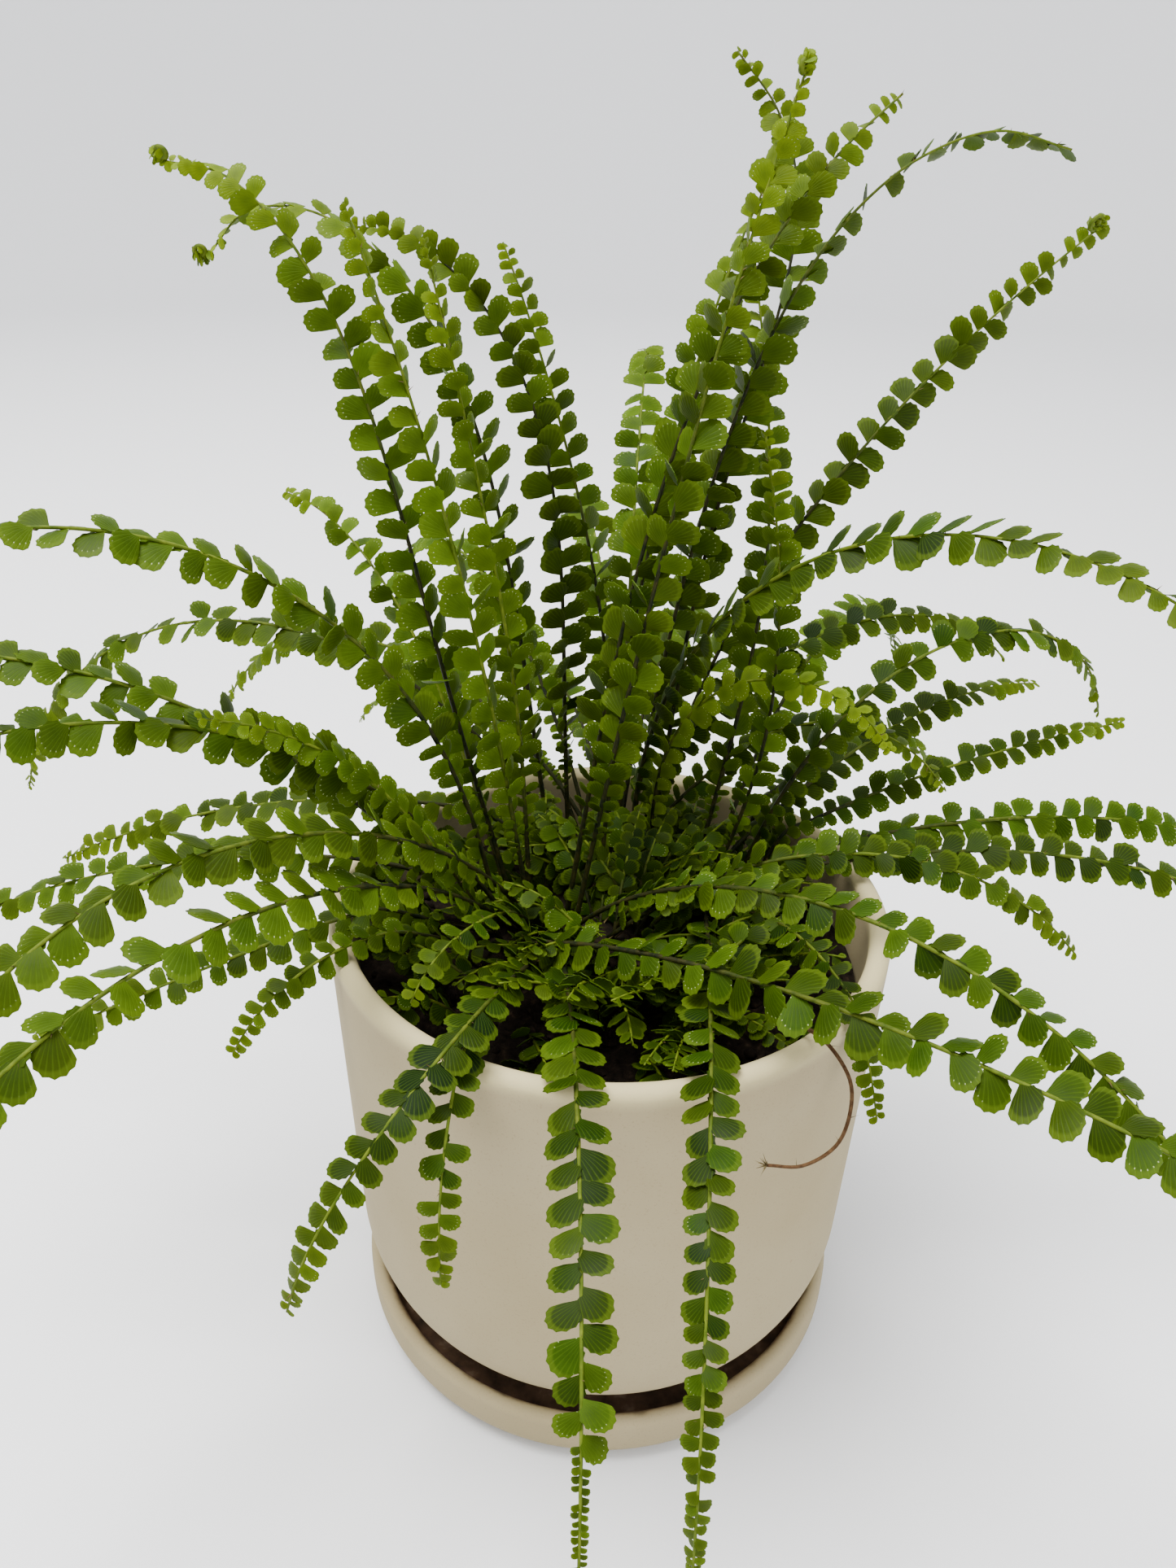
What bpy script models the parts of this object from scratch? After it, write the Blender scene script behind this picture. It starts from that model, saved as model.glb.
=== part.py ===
"""Potted fern: a lemon button fern in a rounded ceramic pot on a matching saucer.

Metres, +Z up. The origin is the centre of the saucer's flat underside, and -Y is the front.
Every frond is one object: a thin ribbon that follows its midrib, as wide as its leaflets.
"""
import math

import bmesh
import bpy
import numpy as np

MM = 0.001

# ---- driving dimensions ---------------------------------------------------------------------
GAP = 0.3 * MM                  # between pieces that rest on each other
TURN_STEPS = 48                 # facets round a turned piece

SAUCER_RADIUS = 77 * MM
SAUCER_HEIGHT = 18 * MM
SAUCER_WALL = 5 * MM
SAUCER_CORNER = 9 * MM          # rounding from the wall to the underside
SAUCER_COVE = 5 * MM            # rounding from the wall to the inside

POT_RADIUS = 80 * MM            # outside of the rim
POT_TOP = 149 * MM              # top of the rim above the table
POT_WALL = 6 * MM
POT_SHOULDER = 40 * MM          # big rounding from the side to the foot
POT_TAPER = 2.5 * MM            # how much narrower the side is just above that rounding
FOOT_RECESS = 2.5 * MM          # how far the underside is hollowed inside the foot ring
FOOT_RING = 5 * MM              # width of the flat ring the pot stands on
FOOT_EDGE = 1 * MM              # height of the sloped edge round that ring
FOOT_INSET = 2 * MM
FOOT_SLOPE = 1 * MM
DRAIN_RADIUS = 9 * MM

SOIL_TOP = 127 * MM             # at the pot's wall
SOIL_DOME = 3 * MM
SOIL_EDGE = 1 * MM              # slack between the soil's top edge and the pot
CROWN_HEIGHT = 5 * MM

LEAF_THICKNESS = 1.2 * MM
BLADE_HALF = 7.5 * MM           # half the width of a full frond's blade
STALK_HALF = 1.4 * MM           # half the width of its bare stalk
TIP_HALF = 1.6 * MM
BARE_PART = 0.06                # share of a frond that is bare stalk
OPENING_PART = 0.22             # share over which the blade opens to its full width
FOOT_LIFT = 1.5 * MM            # of a frond's first station above its crown
STATIONS = 14                   # cross-sections along a frond

CLEARANCE = 4.0 * MM            # between the centres of neighbouring frond patches
SETTLE_ROUNDS = 160
SETTLE_EXTRA = 0.2 * MM         # moved beyond what the clearance asks for
PUSH_REACH = 0.22               # share of a frond that moves with a pushed place
FOOT_GIVE = 0.12                # how much of a push the very foot follows
FAIRING = 0.25
OVER_SOIL = 11 * MM
OVER_RIM = 4 * MM
OVER_TABLE = 6 * MM
LIGHT = (0.0, -0.6, 0.8)        # the light comes from the front and above
OWN_TURN = 0.35                 # how much a frond keeps its own heading while facing the light
SWAY_MEAN = 0.35                # share of its sway at which a frond's own heading is taken
RIM_CLIMB = 40 * MM             # a frond starts climbing towards the rim here
RIM_INSIDE = 66 * MM
RIM_OUTSIDE = 85 * MM

RUNNER_RADIUS = 0.6 * MM

# Three crowns rise from the soil: name -> centre (x, y) and radius, in mm.
CROWNS = {
    "middle": (-18, 6, 26),
    "right": (30, 25, 17),
    "back": (0, 47, 17),
}

# Each frond: crown, heading (degrees from +X towards +Y), rise and tip (degrees above level at
# the stalk and at the tip), length in mm, hold (1 bends evenly, 4 stays straight and then nods)
# and sway (degrees that the heading turns along the frond).
FRONDS = {
    "upright": [
        ("middle", 158, 77, -10, 230, 6.0, 0),
        ("back", 165, 83, -60, 250, 4.0, 0),
        ("middle", 176, 83, 72, 195, 1.5, 0),
        ("middle", 130, 82, 72, 185, 1.5, 0),
        ("back", 160, 90, -5, 215, 3.0, 0),
        ("back", 130, 84, 60, 185, 1.5, 0),
        ("middle", 135, 66, -5, 160, 2.0, 0),
        ("middle", 45, 84, 55, 205, 2.0, 0),
        ("middle", 28, 80, 32, 238, 3.0, 0),
        ("back", 5, 80, -30, 254, 5.0, 0),
        ("back", 10, 79, 40, 245, 3.0, 170),
        ("middle", 25, 80, 70, 226, 1.5, 0),
        ("right", 85, 80, 66, 185, 1.2, 0),
        ("back", 20, 68, 38, 228, 1.2, 0),
        ("right", 15, 78, 104, 140, 1.2, 0),
    ],
    "right": [
        ("back", -40, 90, -36, 245, 1.25, 0),
        ("back", 14, 80, -48, 166, 1.3, 0),
        ("right", 32, 34, -12, 145, 1.5, 0),
        ("right", 16, 75, -75, 180, 1.6, 0),
        ("right", 14, 28, 12, 130, 1.2, 0),
        ("right", 2, 25, -24, 185, 1.2, 0),
        ("right", -8, 26, -34, 185, 1.2, 0),
        ("middle", -14, 46, -50, 142, 1.5, 0),
        ("middle", -40, 50, -60, 228, 1.1, 0),
        ("middle", -40, 28, -10, 262, 0.8, 0),
        ("back", -22, 88, -60, 122, 1.7, 0),
        ("back", -10, 62, -55, 124, 1.5, 0),
    ],
    "left": [
        ("middle", 200, 80, -55, 255, 1.6, 0),
        ("middle", 188, 60, -22, 230, 1.2, 0),
        ("middle", 202, 62, -45, 230, 1.3, 0),
        ("middle", 204, 76, 10, 118, 1.3, 0),
        ("back", 160, 54, -75, 265, 1.2, 15),
        ("middle", 224, 58, -80, 235, 1.3, 0),
        ("middle", 230, 52, -85, 270, 1.2, 0),
        ("back", 180, 18, -25, 170, 1.0, 0),
        ("middle", 180, 20, -30, 190, 1.0, 0),
        ("middle", 206, 6, -5, 125, 1.2, 0),
        ("middle", 216, 20, -50, 80, 2.0, 0),
    ],
    "front": [
        ("middle", 264, 42, -75, 145, 1.2, -50),
        ("middle", 260, 36, -80, 112, 1.3, 0),
        ("middle", 275, 22, -82, 200, 1.6, -3),
        ("right", 266, 22, -84, 210, 1.6, 0),
        ("right", 292, 28, -55, 92, 1.5, 0),
        ("middle", 232, 46, -60, 70, 1.5, 30),
    ],
    "back": [
        ("back", 96, 60, -50, 210, 1.5, 0),
        ("back", 120, 55, -60, 215, 1.4, 0),
        ("back", 145, 44, -55, 210, 1.2, 0),
        ("right", 60, 46, -60, 210, 1.4, 0),
        ("back", 75, 46, -70, 205, 1.2, 0),
        ("back", 108, 34, -60, 175, 1.1, 0),
        ("back", 130, 28, -45, 165, 1.1, 0),
        ("right", 50, 24, -50, 170, 1.1, 0),
        ("back", 85, 74, -20, 215, 2.0, 0),
    ],
}

# The fronds that cross in front of their crown stand on its far side: degrees from +X.
FOOT_SIDES = {("right", 10): 222}

# The runner's route from the soil over the rim, in mm.
RUNNER_ROUTE = [
    (36, -34, 130), (44, -50, 146), (50, -64, 154), (56, -71, 149),
    (57, -75, 142), (54, -79, 134), (46, -82, 130), (37, -84, 132),
]


# ---- small helpers --------------------------------------------------------------------------
def start_clean():
    for obj in list(bpy.data.objects):
        bpy.data.objects.remove(obj)


def make_collection(name):
    collection = bpy.data.collections.new(name)
    bpy.context.scene.collection.children.link(collection)
    return collection


def finish(name, colour, roughness):
    material = bpy.data.materials.new(name)
    material.use_nodes = True
    shader = material.node_tree.nodes["Principled BSDF"]
    shader.inputs["Base Color"].default_value = (*colour, 1)
    shader.inputs["Roughness"].default_value = roughness
    return material


def add_object(collection, name, data, material):
    data.materials.append(material)
    obj = bpy.data.objects.new(name, data)
    collection.objects.link(obj)
    return obj


def arc(centre, radius, start, end, steps):
    """Points (r, z) on a round stretch of a profile, both ends included, angles in degrees."""
    angles = [math.radians(start + (end - start) * i / steps) for i in range(steps + 1)]
    return [(centre[0] + radius * math.cos(a), centre[1] + radius * math.sin(a)) for a in angles]


def turn(collection, name, profile, material, closed=False):
    """A turned solid. Its (r, z) profile runs down its outer side; one that isn't closed
    starts and ends on the axis."""
    count = len(profile)
    edges = [(i, (i + 1) % count) for i in range(count if closed else count - 1)]
    mesh = bpy.data.meshes.new(name)
    mesh.from_pydata([(r, 0, z) for r, z in profile], edges, [])
    obj = add_object(collection, name, mesh, material)
    screw = obj.modifiers.new("turn", "SCREW")
    screw.steps = TURN_STEPS
    screw.render_steps = TURN_STEPS
    screw.use_merge_vertices = True
    screw.merge_threshold = 0.00001
    screw.use_smooth_shade = True
    return obj


# ---- pottery and soil -----------------------------------------------------------------------
def saucer_profile():
    """From the middle of the inside, out over the lip and back under to the middle."""
    lip = SAUCER_WALL / 2
    lip_centre = (SAUCER_RADIUS - lip, SAUCER_HEIGHT - lip)
    corner_centre = (SAUCER_RADIUS - SAUCER_CORNER, SAUCER_CORNER)
    cove_centre = (SAUCER_RADIUS - SAUCER_WALL - SAUCER_COVE, SAUCER_WALL + SAUCER_COVE)
    profile = [(0, SAUCER_WALL)]
    profile += arc(cove_centre, SAUCER_COVE, -90, 0, 3)
    profile += arc(lip_centre, lip, 180, 0, 6)
    profile += arc(corner_centre, SAUCER_CORNER, 0, -90, 4)
    profile += [(0, 0)]
    return profile


def shoulder_arc(inset, lowest):
    """The big rounding between side and foot, moved inwards, down to the height lowest."""
    foot = SAUCER_WALL + GAP
    radius = POT_SHOULDER - inset
    centre = (POT_RADIUS - POT_TAPER - POT_SHOULDER, foot + POT_SHOULDER)
    end = math.degrees(math.asin((centre[1] - lowest) / radius))
    return arc(centre, radius, 0, -end, 6)


def pot_floor():
    return SAUCER_WALL + GAP + FOOT_RECESS + POT_WALL


def pot_profile():
    """Down the outside, under the foot ring, up through the drain hole and the inside."""
    foot = SAUCER_WALL + GAP
    lip = POT_WALL / 2
    outside = shoulder_arc(0, foot + FOOT_EDGE)
    ring = outside[-1][0] - FOOT_INSET
    profile = arc((POT_RADIUS - lip, POT_TOP - lip), lip, 90, 0, 3)
    profile += outside
    profile += [(ring, foot), (ring - FOOT_RING, foot)]
    profile += [(ring - FOOT_RING - FOOT_SLOPE, foot + FOOT_RECESS)]
    profile += [(DRAIN_RADIUS, foot + FOOT_RECESS), (DRAIN_RADIUS, pot_floor())]
    profile += reversed(shoulder_arc(POT_WALL, pot_floor()))
    profile += arc((POT_RADIUS - lip, POT_TOP - lip), lip, 180, 90, 3)[:-1]
    return profile


def soil_profile():
    """The soil fills the pot a gap inside its wall, and domes slightly at the top."""
    top_radius = POT_RADIUS - POT_WALL - SOIL_EDGE - GAP
    profile = [(0, soil_height(0, 0))]
    profile += [(top_radius * part, soil_height(top_radius * part, 0)) for part in (0.35, 0.7)]
    profile += [(top_radius, SOIL_TOP)]
    profile += shoulder_arc(POT_WALL + GAP, pot_floor() + GAP)
    profile += [(0, pot_floor() + GAP)]
    return profile


def soil_height(x, y):
    edge = POT_RADIUS - POT_WALL
    return SOIL_TOP + SOIL_DOME * (1 - (x * x + y * y) / (edge * edge))


def add_crown(collection, name, spec, material):
    """A low woody mound, squashed from a sphere and cut flat just above the soil."""
    x, y, radius = (value * MM for value in spec)
    work = bmesh.new()
    bmesh.ops.create_uvsphere(work, u_segments=16, v_segments=8, radius=radius)
    bmesh.ops.scale(work, vec=(1, 1, CROWN_HEIGHT / radius), verts=work.verts)
    cut = bmesh.ops.bisect_plane(work, geom=work.verts[:] + work.edges[:] + work.faces[:],
                                 plane_co=(0, 0, 0.0), plane_no=(0, 0, -1), clear_outer=True)
    rim = [item for item in cut["geom_cut"] if isinstance(item, bmesh.types.BMEdge)]
    bmesh.ops.contextual_create(work, geom=rim)
    bmesh.ops.recalc_face_normals(work, faces=work.faces)
    highest = soil_height(0, 0) + GAP
    bmesh.ops.translate(work, vec=(x, y, highest), verts=work.verts)
    mesh = bpy.data.meshes.new(name)
    work.to_mesh(mesh)
    work.free()
    return add_object(collection, name, mesh, material)


# ---- fronds ---------------------------------------------------------------------------------
def grow_midrib(crown, heading, rise, tip, length, hold, sway, ring, foot_side=None):
    """Station points of one frond, from its foot on the crown to its tip. The feet stand in
    three rings on their crown, on the side the frond grows to unless foot_side says otherwise,
    and the flatter fronds stand further out."""
    centre_x, centre_y, radius = CROWNS[crown]
    reach = radius * (0.3 + 0.25 * ring + 0.1 * (1 - rise / 90))
    turn_to = math.radians(heading)
    foot_to = turn_to if foot_side is None else math.radians(foot_side)
    point = np.array([(centre_x + reach * math.cos(foot_to)) * MM,
                      (centre_y + reach * math.sin(foot_to)) * MM,
                      soil_height(0, 0) + CROWN_HEIGHT + FOOT_LIFT])
    points = [point]
    step = length * MM / (STATIONS - 1)
    for index in range(STATIONS - 1):
        along = (index + 0.5) / (STATIONS - 1)
        slope = math.radians(rise + (tip - rise) * along ** hold)
        turned = turn_to + math.radians(sway) * along ** hold
        flat = math.cos(slope)
        point = point + step * np.array([flat * math.cos(turned), flat * math.sin(turned),
                                         math.sin(slope)])
        points.append(point)
    return np.array(points)


def half_widths(length):
    """The ribbon's half width at each station: bare stalk, full blade, narrowing tip."""
    small, per_mm = 0.45, 1 / 400       # short fronds have narrower blades
    size = min(1.0, small + length * per_mm)
    along = np.linspace(0, 1, STATIONS)
    opened = np.clip((along - BARE_PART) / OPENING_PART, 0, 1)
    opened = opened * opened * (3 - 2 * opened)
    closing = np.sqrt(np.clip(1 - along ** 5, 0, 1))
    widths = STALK_HALF + (BLADE_HALF * size - STALK_HALF) * opened
    return np.maximum(widths * closing, np.minimum(widths, TIP_HALF))


def side_vectors(points, across):
    """Unit vectors across the frond, square to its midrib: its face turns to the light."""
    tangents = np.gradient(points, axis=0)
    tangents /= np.linalg.norm(tangents, axis=1)[:, None]
    wanted = np.cross(LIGHT, tangents) + OWN_TURN * across[None, :]
    sides = wanted - tangents * (wanted * tangents).sum(1)[:, None]
    return sides / np.linalg.norm(sides, axis=1)[:, None]


def patches(frond):
    """Sample points over a frond's ribbon, and the place of each along the midrib (0 to 1)."""
    fine = np.linspace(0, STATIONS - 1, 4 * (STATIONS - 1) + 1)
    places = np.arange(STATIONS)
    points, widths = frond["points"], frond["widths"]
    sides = side_vectors(points, frond["across"]) * widths[:, None]
    spine = np.stack([np.interp(fine, places, points[:, axis]) for axis in range(3)], 1)
    lateral = np.stack([np.interp(fine, places, sides[:, axis]) for axis in range(3)], 1)
    shares = (-1.0, -0.5, 0.0, 0.5, 1.0)
    samples = np.concatenate([spine + lateral * share for share in shares])
    return samples, np.tile(fine / (STATIONS - 1), len(shares)), np.tile(spine, (len(shares), 1))


def push(frond, at, move):
    """Shift a frond round one place along its midrib; its foot gives way much less."""
    along = np.linspace(0, 1, STATIONS)
    weight = np.exp(-((along - at) / PUSH_REACH) ** 2) * np.clip(FOOT_GIVE + 4 * along, 0, 1)
    frond["points"] += weight[:, None] * move[None, :]


def even_out(frond):
    """Spread what a frond has been moved along its length, so that it stays a fair curve."""
    moved = frond["points"] - frond["grown"]
    moved[1:-1] += FAIRING * (moved[:-2] - 2 * moved[1:-1] + moved[2:])
    frond["points"] = frond["grown"] + moved


def lowest_inside(spread):
    """How low a frond may lie over the soil: it climbs smoothly to clear the rim."""
    climb = min(1.0, max(0.0, (spread - RIM_CLIMB) / (RIM_INSIDE - RIM_CLIMB)))
    climb = climb * climb * (3 - 2 * climb)
    low, high = SOIL_TOP + OVER_SOIL, POT_TOP + OVER_RIM
    return low + (high - low) * climb


def keep_off_pottery(frond):
    """Lift or move a frond's stations clear of crown, soil, pot, saucer and table."""
    foot = frond["points"][0]
    foot[2] = max(foot[2], frond["grown"][0][2])
    outside = False
    for point in frond["points"][1:]:
        spread = math.hypot(point[0], point[1])
        outside = outside or spread > POT_RADIUS
        if not outside:
            point[2] = max(point[2], lowest_inside(spread))
        elif spread < RIM_OUTSIDE and point[2] < POT_TOP + OVER_RIM:
            point[:2] *= RIM_OUTSIDE / spread
        point[2] = max(point[2], OVER_TABLE)


def settle(fronds, runner):
    """Nudge fronds that grow into each other apart, until each has room of its own."""
    for _ in range(SETTLE_ROUNDS):
        sampled = [patches(frond) for frond in fronds]
        lows = [samples.min(0) - CLEARANCE for samples, _, _ in sampled]
        highs = [samples.max(0) + CLEARANCE for samples, _, _ in sampled]
        clashes = 0
        for first in range(len(fronds)):
            for second in range(first + 1, len(fronds)):
                low = np.maximum(lows[first], lows[second])
                high = np.minimum(highs[first], highs[second])
                if (low > high).any():
                    continue
                near = []
                for which in (first, second):
                    samples = sampled[which][0]
                    near.append(np.nonzero(((samples >= low) & (samples <= high)).all(1))[0])
                if not len(near[0]) or not len(near[1]):
                    continue
                ours = sampled[first][0][near[0]]
                theirs = sampled[second][0][near[1]]
                apart = np.linalg.norm(ours[:, None] - theirs[None], axis=2)
                row, column = np.unravel_index(apart.argmin(), apart.shape)
                shortfall = CLEARANCE - apart[row, column]
                if shortfall <= 0:
                    continue
                clashes += 1
                row, column = near[0][row], near[1][column]
                away = sampled[first][2][row] - sampled[second][2][column]
                size = np.linalg.norm(away)
                away = away / size if size > 1e-6 else np.array([0, 0, 1.0])
                move = away * (0.5 * shortfall + SETTLE_EXTRA)
                push(fronds[first], sampled[first][1][row], move)
                push(fronds[second], sampled[second][1][column], -move)
        for frond, (samples, along, spine) in zip(fronds, sampled):
            apart = np.linalg.norm(samples[:, None] - runner[None], axis=2)
            row, column = np.unravel_index(apart.argmin(), apart.shape)
            if apart[row, column] < CLEARANCE:
                clashes += 1
                away = spine[row] - runner[column]
                push(frond, along[row], away / np.linalg.norm(away) * 1 * MM)
            even_out(frond)
            keep_off_pottery(frond)
        if not clashes:
            break
    return clashes


def grow_fronds(runner):
    fronds = []
    for group, rows in FRONDS.items():
        for number, (crown, heading, rise, tip, length, hold, sway) in enumerate(rows, 1):
            angle = math.radians(heading + sway * SWAY_MEAN)
            foot_side = FOOT_SIDES.get((group, number))
            grown = grow_midrib(crown, heading, rise, tip, length, hold, sway, number % 3,
                                foot_side)
            fronds.append({
                "name": f"frond_{group}_{number}",
                "grown": grown,
                "points": grown.copy(),
                "widths": half_widths(length),
                "across": np.array([-math.sin(angle), math.cos(angle), 0.0]),
            })
    clashes = settle(fronds, runner)
    print("fronds:", len(fronds), "unsettled pairs:", clashes)
    return fronds


def add_frond(collection, frond, material):
    """A flat grid laid along the midrib, then given its thickness."""
    work = bmesh.new()
    bmesh.ops.create_grid(work, x_segments=STATIONS - 1, y_segments=1, size=0.5)
    sides = side_vectors(frond["points"], frond["across"])
    for vertex in work.verts:
        station = round((vertex.co.x + 0.5) * (STATIONS - 1))
        share = 1 if vertex.co.y > 0 else -1
        offset = share * frond["widths"][station]
        vertex.co = frond["points"][station] + sides[station] * offset
    mesh = bpy.data.meshes.new(frond["name"])
    work.to_mesh(mesh)
    work.free()
    obj = add_object(collection, frond["name"], mesh, material)
    solidify = obj.modifiers.new("thickness", "SOLIDIFY")
    solidify.thickness = LEAF_THICKNESS
    solidify.offset = 0
    return obj


# ---- runner ---------------------------------------------------------------------------------
def smooth_route(route, per_span):
    """Points on a Catmull-Rom curve through the route."""
    knots = [route[0]] + list(route) + [route[-1]]
    knots = [np.array(knot, dtype=float) * MM for knot in knots]
    points = []
    for span in range(1, len(knots) - 2):
        before, start, end, after = knots[span - 1:span + 3]
        for step in range(per_span):
            t = step / per_span
            points.append(0.5 * (2 * start + (end - before) * t
                                 + (2 * before - 5 * start + 4 * end - after) * t ** 2
                                 + (3 * start - before - 3 * end + after) * t ** 3))
    points.append(knots[-1])
    return np.array(points)


def add_runner(collection, points, material):
    curve = bpy.data.curves.new("runner", "CURVE")
    curve.dimensions = "3D"
    curve.bevel_depth = RUNNER_RADIUS
    curve.bevel_resolution = 1
    curve.use_fill_caps = True
    spline = curve.splines.new("POLY")
    spline.points.add(len(points) - 1)
    for point, place in zip(spline.points, points):
        point.co = (*place, 1)
    return add_object(collection, "runner", curve, material)


# ---- the whole plant ------------------------------------------------------------------------
def build():
    start_clean()
    parts = make_collection("potted_fern")
    glaze = (0.78, 0.72, 0.62)
    turn(parts, "saucer", saucer_profile(), finish("saucer_ceramic", glaze, 0.6))
    turn(parts, "pot", pot_profile(), finish("pot_ceramic", glaze, 0.6), closed=True)
    turn(parts, "soil", soil_profile(), finish("potting_soil", (0.03, 0.02, 0.015), 0.95))
    for name, spec in CROWNS.items():
        add_crown(parts, f"crown_{name}", spec, finish(f"crown_{name}", (0.12, 0.07, 0.03), 0.9))
    runner = smooth_route(RUNNER_ROUTE, 4)
    add_runner(parts, runner, finish("runner_stem", (0.2, 0.1, 0.05), 0.7))
    for frond in grow_fronds(runner):
        add_frond(parts, frond, finish(frond["name"], (0.08, 0.25, 0.03), 0.5))


build()
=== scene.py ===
"""Lemon button fern in a cream ceramic pot: the fine model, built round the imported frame."""
import math

import bmesh
import bpy
import numpy as np
from mathutils import Matrix, Vector


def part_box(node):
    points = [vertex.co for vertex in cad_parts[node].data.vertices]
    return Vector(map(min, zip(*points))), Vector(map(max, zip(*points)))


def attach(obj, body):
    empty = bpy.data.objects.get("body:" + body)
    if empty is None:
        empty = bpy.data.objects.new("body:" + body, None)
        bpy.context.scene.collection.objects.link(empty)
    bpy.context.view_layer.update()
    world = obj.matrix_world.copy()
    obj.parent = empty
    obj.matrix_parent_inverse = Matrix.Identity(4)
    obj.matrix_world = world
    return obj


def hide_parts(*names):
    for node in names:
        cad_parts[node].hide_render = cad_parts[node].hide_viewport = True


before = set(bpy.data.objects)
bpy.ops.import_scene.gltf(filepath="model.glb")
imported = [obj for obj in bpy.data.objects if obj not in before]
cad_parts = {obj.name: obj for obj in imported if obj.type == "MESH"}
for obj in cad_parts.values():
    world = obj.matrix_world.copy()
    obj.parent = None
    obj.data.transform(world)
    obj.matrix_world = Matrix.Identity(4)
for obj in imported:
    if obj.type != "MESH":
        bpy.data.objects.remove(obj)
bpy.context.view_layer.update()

MM = 0.001
chance = np.random.default_rng(11)

# ---- sizes that repeat the part's driving dimensions ----
GAP = 0.3 * MM
POT_WALL = 6 * MM
POT_SHOULDER = 40 * MM
POT_TAPER = 2.5 * MM
FOOT_RECESS = 2.5 * MM
FOOT_RING = 5 * MM
FOOT_EDGE = 1 * MM              # where the outer rounding ends above the foot
FOOT_INSET = 2 * MM
FOOT_SLOPE = 1 * MM
DRAIN_RADIUS = 9 * MM
SAUCER_WALL = 5 * MM
SAUCER_CORNER = 9 * MM
SAUCER_COVE = 5 * MM
SOIL_DOME = 3 * MM              # the soil's middle above its edge
BLADE_HALF = 7.5 * MM
RUNNER_ROUTE = [
    (36, -34, 130), (44, -50, 146), (50, -64, 154), (56, -71, 149),
    (57, -75, 142), (54, -79, 134), (46, -82, 130), (37, -84, 132),
]

# ---- sizes read from the frame ----
pot_low, pot_high = (Vector(corner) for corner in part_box("pot"))
saucer_low, saucer_high = (Vector(corner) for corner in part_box("saucer"))
soil_low, soil_high = (Vector(corner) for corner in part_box("soil"))
POT_RADIUS = (pot_high.x - pot_low.x) / 2
POT_TOP = pot_high.z
POT_FOOT = pot_low.z
SAUCER_RADIUS = (saucer_high.x - saucer_low.x) / 2
SAUCER_HEIGHT = saucer_high.z
SOIL_RADIUS = (soil_high.x - soil_low.x) / 2
SOIL_TOP = soil_high.z - SOIL_DOME

# ---- sizes of the fine model ----
TURN_STEPS = 128                # facets round a turned piece
SAUCER_TOP_RINGS = (20 * MM, 50 * MM)   # extra rings on the saucer's flat faces
SAUCER_FOOT_RING = 30 * MM
LEAFLET_LENGTH = 8.8 * MM
LEAFLET_EDGE = 24               # vertices round a leaflet: every second one is a soft tooth
LEAFLET_THICKNESS = 0.22 * MM
TOOTH_REACH = 1.10              # a tooth's distance from the middle, where 1 is the smooth edge
STEM_RADIUS = 0.85 * MM
STEM_TIP_RADIUS = 0.3 * MM
STEM_STEP = 3 * MM
ROOTED = 5 * MM                 # how far a stem reaches below its first cross-section
CRUMBS = 260
CROWN_SCALES = 90
OPEN_SPOTS = ((4 * MM, -20 * MM), (6 * MM, 14 * MM))    # soil that the crowns leave open
SPOT_SPREAD = 14 * MM
LIGHT = Vector((0.0, -0.6, 0.8))    # leaf faces turn towards it


# ---- helpers ----
def only(*objects):
    """Select just these objects and make the last one active."""
    bpy.ops.object.select_all(action="DESELECT")
    for obj in objects:
        obj.select_set(True)
    bpy.context.view_layer.objects.active = objects[-1]


def edit(obj):
    only(obj)
    bpy.ops.object.mode_set(mode="EDIT")


def leave():
    bpy.ops.object.mode_set(mode="OBJECT")


def pick(obj, test):
    """In edit mode, select the vertices whose place passes a test."""
    bpy.ops.mesh.select_mode(type="VERT")
    bpy.ops.mesh.select_all(action="DESELECT")
    work = bmesh.from_edit_mesh(obj.data)
    for vert in work.verts:
        vert.select_set(bool(test(vert.co)))
    work.select_flush(True)
    bmesh.update_edit_mesh(obj.data)


def settle_place(obj):
    """Put an object's place, turn and scale into its mesh."""
    only(obj)
    bpy.ops.object.transform_apply(location=True, rotation=True, scale=True)


def apply_modifiers(obj):
    only(obj)
    for modifier in list(obj.modifiers):
        bpy.ops.object.modifier_apply(modifier=modifier.name)


def smooth(obj, degrees=40):
    only(obj)
    bpy.ops.object.shade_smooth_by_angle(angle=math.radians(degrees))


def paint(obj, label, values):
    """Write one number per vertex into a named attribute."""
    mesh = obj.data
    layer = mesh.attributes.get(label) or mesh.attributes.new(label, "FLOAT", "POINT")
    values = np.broadcast_to(np.asarray(values, dtype=np.float32), len(mesh.vertices))
    layer.data.foreach_set("value", np.ascontiguousarray(values))


def join(name, pieces):
    only(*pieces)
    bpy.ops.object.join()
    joined = bpy.context.object
    joined.name = name
    joined.data.name = name
    return joined


def hand_over(piece, slot, *nodes):
    """Tell the frame which body a piece rides on and hide the nodes it stands for. The slot, its
    finish, is not used.
    """
    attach(piece, "root")
    if nodes:
        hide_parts(*nodes)


def arc(centre, radius, start, end, steps):
    """Points (r, z) on a round stretch of a profile, both ends included, angles in degrees."""
    angles = [math.radians(start + (end - start) * i / steps) for i in range(steps + 1)]
    return [(centre[0] + radius * math.cos(a), centre[1] + radius * math.sin(a)) for a in angles]


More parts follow.
